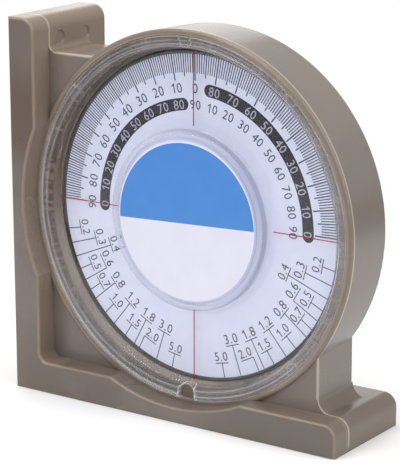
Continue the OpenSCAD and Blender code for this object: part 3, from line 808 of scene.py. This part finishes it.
def rubbed_edges():
    """How much painted highlight each point carries, 0 to 1: bells of the distance to the ridges, steps, marks and
    notch.
    """
    lines = sum(weight * bell(plain_r - at, 0.14) for at, weight in EDGE_LINES)
    steps = sum(bell(np.degrees(turn) - at, 0.4) for at in STEP_DEGREES) * (plain_r > SLOPE_R + 1.5)
    marks = mark_groove(plain_r, turn) / MARK_DEPTH
    lips = np.where(near_notch, 0.62 * bell(from_notch - 0.3, 0.28), 0)
    # A faint painted sheen over the whole rim, under the painted highlight lines.
    rim = 0.09 + np.maximum.reduce([lines, 0.3 * steps, 0.38 * marks, lips])
    rim = np.where(plain_r > SLOPE_R - 0.1, rim, lips)
    boss = sum(weight * bell(plain_r - at, 0.12) for at, weight in BOSS_LINES)
    # Painted highlight: the boss's lines are strongest towards the right.
    boss = boss * (0.25 + 0.75 * np.clip(np.cos(turn - 0.3), 0, 1))
    return np.where(on_rim, rim, np.where(on_front & (plain_r < BOSS_R + 1), boss, 0))


lens_points, lens_faces = turned_surface(ring_r, ring_y, turn, profile[0, 1], profile[-1, 1])
lens = new_piece("clear_lens", lens_points, lens_faces, "housing", "lens_plastic", acrylic)
# Painted highlights: a float attribute that the lens's finish reads.
edge_highlight = lens.data.attributes.new("edge_highlight", "FLOAT", "POINT")
edge_highlight.data.foreach_set("value", np.concatenate([rubbed_edges().ravel(), [0, 0]]).astype(np.float32))
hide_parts("lens_cover")
lens.data.shade_smooth()
print("clear lens:", len(profile), "profile points x", len(angles), "angles =", len(lens_faces), "faces")


# %% [markdown]
# The scales are ink, so they are made as flat pieces a few hundredths of a millimetre thick on
# the card. A tick is a thin box along a radius, and hundreds of them share one array of corners.
# The whole print is turned by half a degree on the card, as it is on the real dial.

# %% Ticks, leaders and cross bars as boxes
INK_T = 0.02
INK_SINK = 0.005
PRINT_TURN = 0.6
BOX_SIDES = np.array([[-1, -1], [1, -1], [1, 1], [-1, 1]] * 2) / 2
BOX_FACES = np.array([[3, 2, 1, 0], [4, 5, 6, 7], [1, 5, 4, 0], [2, 6, 5, 1], [3, 7, 6, 2], [0, 4, 7, 3]])


def ink_boxes(middle_r, angle_deg, along_r, across, shift=0.0, thickness=INK_T):
    """Thin boxes on the card. Each has a middle radius, an angle, a length on the radius and one across it.

    shift moves the box sideways, square to its radius. Returns points (8 per box) and faces.
    """
    values = np.broadcast_arrays(middle_r, angle_deg, along_r, across, shift)
    middle_r, angle_deg, along_r, across, shift = [value.astype(float).reshape(-1, 1, 1) for value in values]
    outward, sideways = directions(angle_deg[..., 0] + PRINT_TURN)
    centre = np.array([AXIS_X, CARD_Y, AXIS_Z]) + outward * middle_r + sideways * shift
    points = centre + outward * (BOX_SIDES[:, :1] * along_r) + sideways * (BOX_SIDES[:, 1:] * across)
    points[..., 1] += INK_SINK - thickness * np.repeat([0, 1], 4)
    faces = (np.arange(len(points)) * 8)[:, None, None] + BOX_FACES
    return points.reshape(-1, 3), faces.reshape(-1, 4)


degrees = np.arange(0, 181)
tens, fives = degrees % 10 == 0, degrees % 5 == 0
tick_in = np.where(tens, 36.0, np.where(fives, 37.0, 38.0))
tick_w = np.where(tens, 0.36, np.where(fives, 0.32, 0.27))
TICK_OUT = CARD_R - 0.02
ticks = ink_boxes((tick_in + TICK_OUT) / 2, degrees, TICK_OUT - tick_in, tick_w)

# The slope scale: each word has a row (0 is the outermost), and two bars stand aside from their leader.
SLOPES = {"0.2": 0, "0.3": 1, "0.4": 2, "0.5": 0, "0.6": 1, "0.7": 0, "0.8": 1,
          "1.0": 0, "1.2": 1, "1.5": 0, "1.8": 1, "2.0": 0, "3.0": 1, "5.0": 0}
BAR_R = np.array([39.0, 34.6, 30.3])
BAR_W = np.array([4.1, 4.2, 4.35])
BAR_SHIFT = {"0.6": -1, "2.0": 1}
slope_angle = np.degrees(np.arctan([float(word) for word in SLOPES]))
row = np.array(list(SLOPES.values()))
side_shift = np.array([BAR_SHIFT.get(word, 0) for word in SLOPES]) * BAR_W[row] / 2
leader_angle = np.concatenate([180 + slope_angle, -slope_angle])
leader_row = np.tile(row, 2)
leader_in = BAR_R[leader_row]
leaders = ink_boxes((leader_in + TICK_OUT) / 2, leader_angle, TICK_OUT - leader_in, 0.27)
bars = ink_boxes(leader_in, leader_angle, 0.26, BAR_W[leader_row], np.concatenate([side_shift, -side_shift]))
new_piece("dial_scale_lines", *joined([ticks, leaders, bars]), "dial", "dial_print", ink_dark)
print("scale lines:", len(degrees), "ticks,", len(leader_angle), "leaders with bars")


# %% [markdown]
# Each dark band is an arc with half-round ends. As a surface it has two parameters: the angle
# along it and the place across it. Past either end the half width shrinks as a circle does.

# %% The two dark bands
def band(inner_r, outer_r, start_deg, end_deg, steps=160, across_steps=6):
    """Arc band with round ends: half width = sqrt(h^2 - d^2), with d the way past the last centre."""
    middle, half = (inner_r + outer_r) / 2, (outer_r - inner_r) / 2
    end_turn = math.degrees(half / middle)
    first, last = start_deg + end_turn, end_deg - end_turn
    lead = end_turn * np.sin(np.linspace(0, math.pi / 2, 12))
    along = np.concatenate([first - lead[::-1], np.linspace(first, last, steps)[1:-1], last + lead])
    past = np.maximum(np.maximum(first - along, along - last), 0)
    width = np.sqrt(np.clip(half**2 - np.radians(past * middle) ** 2, 0.0004, None))
    place = middle + width[:, None] * np.linspace(-1, 1, across_steps)[None, :]
    turn = np.radians(along + PRINT_TURN)[:, None]
    points = np.vstack([polar(place, turn, depth).reshape(-1, 3) for depth in (CARD_Y - INK_T, CARD_Y + INK_SINK)])
    grid = grid_quads(*place.shape)
    number = np.arange(place.size).reshape(place.shape)
    edge = np.concatenate([number[0], number[1:-1, -1], number[-1, ::-1], number[-2:0:-1, 0]])
    wall = np.stack([edge + place.size, np.roll(edge, -1) + place.size, np.roll(edge, -1), edge], -1)
    return points, np.vstack([grid, grid[:, ::-1] + place.size, wall])


# Inner and outer radius, first and last angle.
BANDS = [(28.2, 31.4, 94.2, 183.6), (32.4, 35.7, -3.5, 85.2)]
new_piece("dial_bands", *joined([band(*values) for values in BANDS]), "dial", "dial_print", ink_band)
print("bands:", len(bpy.data.meshes["dial_bands"].polygons), "faces")


# %% [markdown]
# The numbers are set from single signs. A digit or a point starts as text and is made into a mesh
# once; the 1 is drawn here, because this print's 1 has a slanted flag. Words are then rows of
# signs, set round the dial as arrays. In the upper half the tops of the digits point outwards,
# and in the slope scale below they point to the middle, so that they read upright when tipped.

# %% Signs and words
SIGN_T = 0.3
POINT_STEP = 0.38
DIGIT_STEP = 0.78
DIGIT_WIDTH = 0.95


def sign_mesh(sign):
    """Points (x right, y up, z towards the reader) and faces of a sign from text, its middle at x = 0."""
    curve = bpy.data.curves.new("sign", "FONT")
    curve.body = sign
    curve.size = 1.0
    curve.extrude = SIGN_T
    curve.resolution_u = 3
    holder = linked("sign", curve)
    bpy.context.view_layer.update()
    made = bpy.data.meshes.new_from_object(holder.evaluated_get(bpy.context.evaluated_depsgraph_get()))
    points = np.zeros(len(made.vertices) * 3)
    made.vertices.foreach_get("co", points)
    points, same = np.unique(np.round(points.reshape(-1, 3), 5), axis=0, return_inverse=True)
    faces = [same.ravel()[list(polygon.vertices)].tolist() for polygon in made.polygons]
    bpy.data.objects.remove(holder)
    bpy.data.curves.remove(curve)
    bpy.data.meshes.remove(made)
    points[:, 0] -= (points[:, 0].min() + points[:, 0].max()) / 2
    return points, faces


def flagged_one():
    """The 1 of this print: an outline of a stem and a slanted flag, as a prism."""
    outline = np.array([[0.04, 0], [0.17, 0], [0.17, 1], [0.08, 1], [-0.05, 0.86], [-0.2, 0.77], [-0.2, 0.65],
                        [-0.06, 0.71], [0.04, 0.79]])
    count = len(outline)
    points = np.vstack([np.column_stack([outline, np.full(count, z)]) for z in (-SIGN_T, SIGN_T)])
    around = np.arange(count)
    walls = np.stack([around, np.roll(around, -1), np.roll(around, -1) + count, around + count], -1).tolist()
    caps = [[8, 3, 4, 5, 6, 7], [0, 1, 2, 3, 8]]
    return points, walls + [[i + count for i in cap] for cap in caps] + [cap[::-1] for cap in caps]


SIGNS = {sign: sign_mesh(sign) for sign in "023456789."}
digit_h = np.ptp(SIGNS["0"][0][:, 1])
for sign_points, _ in SIGNS.values():
    sign_points[:, :2] /= digit_h
SIGNS["1"] = flagged_one()
print("signs:", {sign: len(faces) for sign, (_, faces) in SIGNS.items()}, "faces each")


def word_mesh(word):
    """A row of signs, its middle at the origin: each sign lies half its step past half the step before it."""
    steps = np.array([POINT_STEP if sign == "." else DIGIT_STEP for sign in word])
    middles = np.cumsum(steps) - steps / 2 - steps.sum() / 2
    return joined([(SIGNS[sign][0] + [middle, -0.5, 0], SIGNS[sign][1]) for sign, middle in zip(word, middles)])


def set_word(word, angle_deg, middle_r, height, tops_out=True, lift=0.0, thickness=INK_T, shift=0.0):
    """A word on the card, its middle at a radius and an angle, with its tops outwards or inwards."""
    flat, faces = word_mesh(word)
    outward, sideways = directions(angle_deg + PRINT_TURN)
    up, right = (outward, -sideways) if tops_out else (-outward, sideways)
    points = (np.array([AXIS_X, CARD_Y, AXIS_Z]) + outward * middle_r + sideways * shift
              + right * (flat[:, :1] * height * DIGIT_WIDTH) + up * (flat[:, 1:2] * height))
    points[:, 1] += np.where(flat[:, 2] > 0, -thickness, INK_SINK) - lift
    return points, faces


# %% Numbers of the scales
ON_BAND = {"height": 2.45, "lift": INK_T, "thickness": 0.01}
NUMBER_R = [37.2, 32.75, 28.65]
NUMBER_H = [2.4, 2.55, 2.4]
OUTER_ROW_R, INNER_ROW_R, TOP_NUMBER_R = 34.05, 29.6, 29.8
OUTER_BAND_R, INNER_BAND_R = 33.95, 29.75
dark_words, white_words = [], []
for value in range(0, 91, 10):
    dark_words.append(set_word(str(value), 90 + value, OUTER_ROW_R, 2.6))
    if value < 90:
        white_words.append(set_word(str(value), 180 - value, INNER_BAND_R, **ON_BAND))
        white_words.append(set_word(str(value), value, OUTER_BAND_R, **ON_BAND))
    if value > 0:
        dark_words.append(set_word(str(value), 90 - value, INNER_ROW_R, 2.45))
dark_words.append(set_word("90", 90, TOP_NUMBER_R, 2.4))
for (word, level), below, shift in zip(SLOPES.items(), slope_angle, side_shift):
    for angle, aside in ((180 + below, shift), (-below, -shift)):
        dark_words.append(set_word(word, angle, NUMBER_R[level], NUMBER_H[level], tops_out=False, shift=aside))
new_piece("dial_numbers_dark", *joined(dark_words), "dial", "dial_print", ink_dark)
new_piece("dial_numbers_white", *joined(white_words), "dial", "dial_print", ink_white)
print("numbers:", len(dark_words), "dark and", len(white_words), "white words,",
      sum(len(faces) for _, faces in dark_words + white_words), "faces")


# %% [markdown]
# Where the red filler of each cursor line ends, at the foot of the rim's slope, a small drop of
# paint has gathered. A drop is half of a flattened ball: height = h sqrt(1 - q^2), for q from 0
# at its middle to 1 at its edge. At the other end, a short tail takes the line to the boss.

# %% Drops of cursor paint
DROP_R = RIM_IN_R - 0.4
DROP_SINK = 0.02
DROPS = {0: (0.32, 0.42, 0.12), 90: (0.38, 0.4, 0.14), 180: (0.38, 0.42, 0.13), 270: (0.36, 0.4, 0.12)}
TAIL_R = LABEL_R + 3.75
TAIL_LENGTH, TAIL_WIDTH, TAIL_T = 0.9, 0.25, 0.1


def paint_drop(angle_deg, half_w, half_l, rise, rings=6, steps=20):
    """Closed low dome on the window: radius q, height rise * sqrt(1 - q^2), with a flat back."""
    q = np.sin(np.linspace(0, math.pi / 2, rings + 1))[1:, None]
    turn = np.linspace(0, 2 * math.pi, steps, endpoint=False)[None, :]
    outward, sideways = directions(angle_deg)
    base = np.array([AXIS_X, 0, AXIS_Z]) + outward * DROP_R
    dome = base + (q * np.sin(turn) * half_l)[..., None] * outward + (q * np.cos(turn) * half_w)[..., None] * sideways
    dome[..., 1] = WINDOW_FRONT_Y - rise * np.sqrt(np.clip(1 - q**2, 0, 1))
    poles = [base + [0, WINDOW_FRONT_Y + depth, 0] for depth in (-rise, DROP_SINK)]
    points = np.vstack([dome.reshape(-1, 3), *poles])
    ring = np.arange(steps)
    faces = [grid_quads(rings, steps, closed=True), fan(ring, rings * steps),
             fan(ring + (rings - 1) * steps, rings * steps + 1)[:, [1, 0, 2]]]
    return points, [face for part in faces for face in part.tolist()]


tails, tail_faces = ink_boxes(TAIL_R, np.array(list(DROPS)) - PRINT_TURN, TAIL_LENGTH, TAIL_WIDTH, thickness=TAIL_T)
tails[:, 1] += WINDOW_Y + TAIL_T - INK_SINK - CARD_Y
drops = [paint_drop(angle, *sizes) for angle, sizes in DROPS.items()]
cursor_drops = new_piece("cursor_paint_drops", *joined(drops + [(tails, tail_faces)]), "housing", "cursor_paint",
                         cursor_red)
cursor_drops.data.shade_smooth()
cursor_drops.data.set_sharp_from_angle(angle=0.8)
print("cursor paint:", len(drops), "drops and", len(tails) // 8, "tails")


# %% [markdown]
# The photograph is a cut-out on pure white. The floor is pale, keeps the object's soft shadow
# close by, and fades to plain white away from it: to a camera ray, the far floor and the world
# both show a strength of 1, which is white. Further out the floor itself is dim. The window
# mirrors it there, so the bands look black high on the dial and greyer low down, as in the photo.
# The floor is open under the sole and clear from beneath, so that the underside can be seen too.

# %% Floor
FLOOR_HALF = 3.0
FLOOR_Z = -0.02 * MM
SOLE_INSET = 0.3 * MM
SOLE_FLAT = 0.05 * MM


def floor_finish():
    """Pale floor that takes the shadow near the object and turns plain white further off."""
    material, pen = new_material("pale_floor")
    far = pen.vector("LENGTH", pen.place)
    to_camera = pen.add("ShaderNodeLightPath").outputs["Is Camera Ray"]
    tone = cloudy(pen, 8.0, (0.93, 0.93, 0.93, 1), (0.95, 0.95, 0.95, 1))
    near = pen.mix(to_camera, (0.84, 0.84, 0.85, 1), tone[0])
    pen.look(Base_Color=pen.mix(pen.smooth(far, 0.24, 0.33), near, (0.2, 0.2, 0.21, 1)), Roughness=0.9)
    white = pen.add("ShaderNodeEmission", Color=(1, 1, 1, 1), Strength=1.0)
    away = pen.times(pen.smooth(far, 0.06, 0.2), pen.either_ray("Camera", "Transmission"))
    beneath = pen.add("ShaderNodeNewGeometry").outputs["Backfacing"]
    clear = pen.add("ShaderNodeBsdfTransparent")
    above = pen.blend(away, pen.shader.outputs[0], white.outputs[0])
    pen.surface(pen.blend(beneath, above, clear.outputs[0]))
    return material


# The opening lies just inside the flat part of the sole, and the floor a hair below it.
corners = np.array([vertex.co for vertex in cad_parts["housing_body"].data.vertices])
sole = corners[corners[:, 2] < SOLE_FLAT, :2]
(x0, y0), (x1, y1) = sole.min(0) + SOLE_INSET, sole.max(0) - SOLE_INSET
print("opening in the floor, from the sole, mm:", np.round(np.array([x0, y0, x1, y1]) / MM, 1))
outer = [(-FLOOR_HALF, -FLOOR_HALF), (FLOOR_HALF, -FLOOR_HALF), (FLOOR_HALF, FLOOR_HALF), (-FLOOR_HALF, FLOOR_HALF)]
floor_points = [(x, y, FLOOR_Z) for x, y in outer + [(x0, y0), (x1, y0), (x1, y1), (x0, y1)]]
floor_mesh = bpy.data.meshes.new("floor")
floor_mesh.from_pydata(floor_points, [], [(0, 1, 5, 4), (1, 2, 6, 5), (2, 3, 7, 6), (3, 0, 4, 7)])
floor_mesh.materials.append(floor_finish())
floor = linked("floor", floor_mesh)

# %% World
world = bpy.data.worlds.new("studio")
bpy.context.scene.world = world
world.use_nodes = True
world.node_tree.nodes.clear()
sky = Finish(world.node_tree)
soft = sky.add("ShaderNodeBackground", Color=(1, 1, 1, 1), Strength=0.62)
plain = sky.add("ShaderNodeBackground", Color=(1, 1, 1, 1), Strength=1.0)
studio = sky.blend(sky.either_ray("Camera", "Transmission"), soft.outputs[0], plain.outputs[0])
sky.add("ShaderNodeOutputWorld", Surface=studio)
print("world:", world.name, "of", len(world.node_tree.nodes), "nodes")


# %% [markdown]
# Soft boxes stand where the photograph's highlights say they were: a large one above and to the
# left, which whitens the tops of the leg and the case, a second on the right, and weaker ones in
# front and behind. Together with the world they light a white card to just under white.

# %% Lamps
def stand(name, data, place, target):
    """Puts a lamp or a camera at a place, in metres, and turns it to look at a target with Z up."""
    thing = linked(name, data)
    thing.location = place
    thing.rotation_euler = (Vector(target) - Vector(place)).to_track_quat("-Z", "Y").to_euler()
    return thing


# Place, size and power. All of them look at the middle of the instrument.
LAMP_TARGET = (0.01, 0.0, 0.052)
SOFT_BOXES = {
    "lamp_above": ((-0.15, -0.05, 0.75), 0.5, 2.3), "lamp_right": ((0.65, 0.05, 0.5), 0.6, 2.6),
    "lamp_front": ((-0.3, -0.6, 0.55), 0.5, 2.0), "lamp_behind": ((-0.75, 0.85, 0.42), 0.7, 1.6),
}
for name, (place, size, power) in SOFT_BOXES.items():
    lamp = bpy.data.lights.new(name, "AREA")
    lamp.size = size
    lamp.energy = power
    stand(name, lamp, place, LAMP_TARGET)
print("lamps:", list(SOFT_BOXES))


# %% [markdown]
# The camera comes from a fit of the part's known edges and circles to the photograph: where it
# stood, what it looked at and its focal length. It is a long lens from half a metre away.

# %% Camera
SENSOR_MM = 36.0
FOCAL_PX = 2119.0
PICTURE_PX = 400.0
ROLL = -0.002
CAMERA_AT = (0.3060, -0.4425, 0.1877)
CAMERA_TARGET = (0.01021, -0.0159, 0.05278)

camera_data = bpy.data.cameras.new("camera")
camera_data.sensor_fit = "HORIZONTAL"
camera_data.sensor_width = SENSOR_MM
camera_data.lens = SENSOR_MM * FOCAL_PX / PICTURE_PX
camera_data.clip_start = 0.01
camera = stand("camera", camera_data, CAMERA_AT, CAMERA_TARGET)
camera.rotation_euler.rotate_axis("Z", ROLL)
bpy.context.scene.camera = camera
bpy.context.scene.view_settings.view_transform = "Standard"
print("camera: focal length", round(camera_data.lens, 1), "mm at", [round(v, 3) for v in camera.location])
